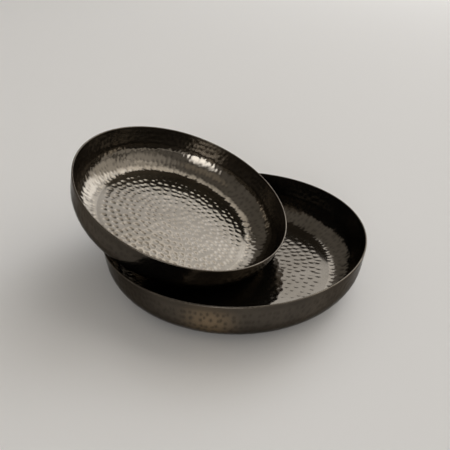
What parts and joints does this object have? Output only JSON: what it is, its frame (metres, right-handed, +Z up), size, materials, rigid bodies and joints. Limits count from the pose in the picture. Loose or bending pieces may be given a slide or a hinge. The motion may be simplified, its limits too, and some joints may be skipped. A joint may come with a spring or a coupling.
{
  "type": "round serving tray set",
  "caption": "Nesting round serving trays spun from hammered dark metal with a flat base, a round cove and a steep wall; the smaller leans in the larger and lifts off.",
  "frame": {"origin": "centre of the large tray's flat underside, where its pads are stuck", "axes": "+Z up along the large tray's axis, +X to the right and +Y away from the viewer of the picture"},
  "size_m": [0.3331, 0.3029, 0.1367],
  "materials": {
    "tray_metal": "hammered sheet, dark nickel colour, polished",
    "pad_rubber": "matt stick-on pad"
  },
  "bodies": {
    "large_tray": {"large_tray": "tray_metal", "large_pad_1": "pad_rubber", "large_pad_2": "pad_rubber", "large_pad_3": "pad_rubber"},
    "small_tray": {"small_tray": "tray_metal", "small_pad_1": "pad_rubber", "small_pad_2": "pad_rubber", "small_pad_3": "pad_rubber"}
  },
  "joints": [
    {"name": "small_tray_lift", "type": "slide", "parent": "large_tray", "child": "small_tray", "axis": [0, 0, 1], "range_m": [0, 0.15]}
  ]
}
